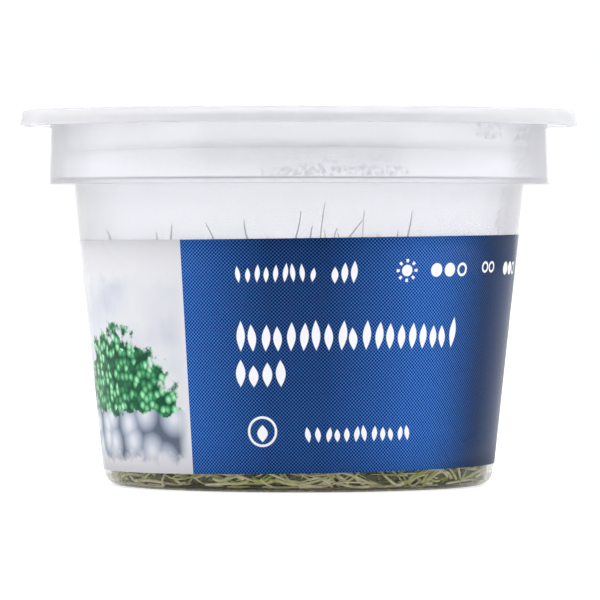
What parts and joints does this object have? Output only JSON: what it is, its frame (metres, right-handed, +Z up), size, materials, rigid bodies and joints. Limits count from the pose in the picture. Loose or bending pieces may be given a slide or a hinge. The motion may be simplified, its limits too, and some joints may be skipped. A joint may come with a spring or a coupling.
{
  "type": "potted dwarf hairgrass",
  "caption": "Dwarf hairgrass rooted in a round milky plastic cup with a stepped collar, a recessed press-on lid and a wrap-around label; it stands on its foot ring.",
  "frame": {"origin": "middle of the cup's foot ring, on the surface that it stands on", "axes": "+Z up along the cup's axis; -Y is the front, where the label's picture panel is on the left and its blue field in the middle; +X is to the right"},
  "size_m": [0.095, 0.095, 0.0638],
  "materials": {
    "cup_plastic": "milky see-through polypropylene, satin gloss",
    "lid_plastic": "milky see-through polypropylene, satin gloss",
    "label_film": "printed film, deep blue with a white panel, silky",
    "root_tissue": null,
    "blade_tissue": null
  },
  "bodies": {
    "root": {"cup": "cup_plastic", "lid": "lid_plastic", "label": "label_film", "root_mat": "root_tissue", "tuft_01": "blade_tissue", "tuft_02": "blade_tissue", "tuft_03": "blade_tissue", "tuft_04": "blade_tissue", "tuft_05": "blade_tissue", "tuft_06": "blade_tissue", "tuft_07": "blade_tissue", "tuft_08": "blade_tissue", "tuft_09": "blade_tissue", "tuft_10": "blade_tissue", "tuft_11": "blade_tissue", "tuft_12": "blade_tissue", "tuft_13": "blade_tissue", "tuft_14": "blade_tissue", "tuft_15": "blade_tissue", "tuft_16": "blade_tissue", "tuft_17": "blade_tissue", "tuft_18": "blade_tissue", "tuft_19": "blade_tissue"}
  },
  "joints": []
}
